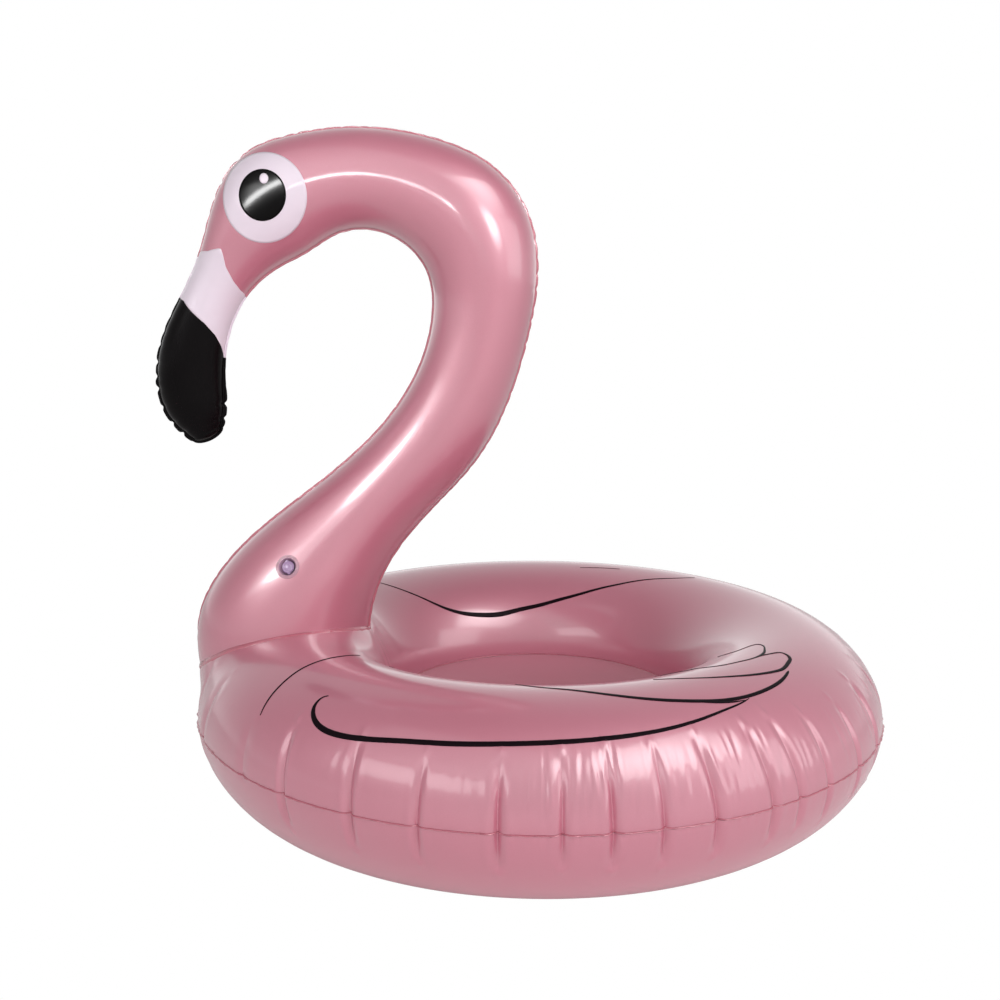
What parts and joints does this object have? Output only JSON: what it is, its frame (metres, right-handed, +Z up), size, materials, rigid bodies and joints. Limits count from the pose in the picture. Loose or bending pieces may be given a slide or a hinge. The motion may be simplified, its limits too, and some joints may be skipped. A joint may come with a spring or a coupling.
{
  "type": "inflatable bird-shaped swim ring",
  "caption": "Round inflatable swim ring with a long curved bird neck and hooked beak, welded film panels and pinch valves.",
  "frame": {"origin": "centre of the ring on the floor plane its flat contact band rests on", "axes": "+Z up, -X forward towards the beak, -Y the bird's left side"},
  "size_m": [1.0054, 0.958, 0.9131],
  "materials": {
    "pearl_film": "pearlescent rose, high gloss",
    "weld": "gloss, crimped",
    "white_ink": "gloss print",
    "black_ink": "gloss print",
    "clear_vinyl": "clear soft vinyl",
    "valve_vinyl": "translucent soft vinyl"
  },
  "bodies": {
    "ring": {"ring_top_panel": "pearl_film", "ring_bottom_panel": "pearl_film", "ring_outer_seam": "weld", "ring_inner_seam": "weld", "neck_foot_left": "pearl_film", "neck_foot_right": "pearl_film", "neck_foot_seam": "weld", "neck_foot_weld": "weld", "wing_lines_left": "black_ink", "wing_lines_right": "black_ink", "ring_valve_flange": "clear_vinyl", "ring_valve_sleeve": "clear_vinyl"},
    "neck": {"neck_left_panel": "pearl_film", "neck_right_panel": "pearl_film", "neck_edge_seam": "weld", "eye_white_left": "white_ink", "eye_pupil_left": "black_ink", "beak_white_left": "white_ink", "beak_black_left": "black_ink", "eye_white_right": "white_ink", "eye_pupil_right": "black_ink", "beak_white_right": "white_ink", "beak_black_right": "black_ink", "neck_valve_flange": "clear_vinyl", "neck_valve_sleeve": "clear_vinyl"},
    "ring_valve_stem": {"ring_valve_stem": "valve_vinyl", "ring_valve_strap": "valve_vinyl"},
    "ring_valve_plug": {"ring_valve_plug": "valve_vinyl"},
    "ring_valve_flap": {"ring_valve_flap": "clear_vinyl"},
    "neck_valve_stem": {"neck_valve_stem": "valve_vinyl", "neck_valve_strap": "valve_vinyl"},
    "neck_valve_plug": {"neck_valve_plug": "valve_vinyl"},
    "neck_valve_flap": {"neck_valve_flap": "clear_vinyl"}
  },
  "joints": [
    {"name": "neck_sway", "type": "hinge", "parent": "ring", "child": "neck", "pos_m": [-0.352, 0, 0.262], "axis": [0, 1, 0], "range_deg": [-10, 10], "stiffness_Nm_per_rad": 80, "deforming": ["neck_foot_left", "neck_foot_right", "neck_foot_seam"]},
    {"name": "neck_valve_pop", "type": "slide", "parent": "neck", "child": "neck_valve_stem", "axis": [-0.147, -0.9117, 0.3837], "range_m": [0, 0.012], "stiffness_N_per_m": 60, "deforming": ["neck_valve_sleeve"]},
    {"name": "neck_valve_plug_open", "type": "hinge", "parent": "neck_valve_stem", "child": "neck_valve_plug", "pos_m": [-0.33716, -0.08924, 0.32306], "axis": [0.9687, -0.0543, 0.2422], "range_deg": [0, 90], "stiffness_Nm_per_rad": 0.004, "deforming": ["neck_valve_strap"]},
    {"name": "neck_valve_flap_open", "type": "hinge", "parent": "neck_valve_stem", "child": "neck_valve_flap", "pos_m": [-0.336, -0.07531, 0.32155], "axis": [-0.9687, 0.0543, -0.2422], "range_deg": [0, 50], "stiffness_Nm_per_rad": 0.0002},
    {"name": "ring_valve_pop", "type": "slide", "parent": "ring", "child": "ring_valve_stem", "axis": [-0.4556, 0.1658, 0.8746], "range_m": [0, 0.012], "stiffness_N_per_m": 60, "deforming": ["ring_valve_sleeve"]},
    {"name": "ring_valve_plug_open", "type": "hinge", "parent": "ring_valve_stem", "child": "ring_valve_plug", "pos_m": [-0.3907, 0.1422, 0.21657], "axis": [-0.342, -0.9397, 0], "range_deg": [0, 90], "stiffness_Nm_per_rad": 0.004, "deforming": ["ring_valve_strap"]},
    {"name": "ring_valve_flap_open", "type": "hinge", "parent": "ring_valve_stem", "child": "ring_valve_flap", "pos_m": [-0.3812, 0.13875, 0.20679], "axis": [0.342, 0.9397, 0], "range_deg": [0, 50], "stiffness_Nm_per_rad": 0.0002}
  ]
}
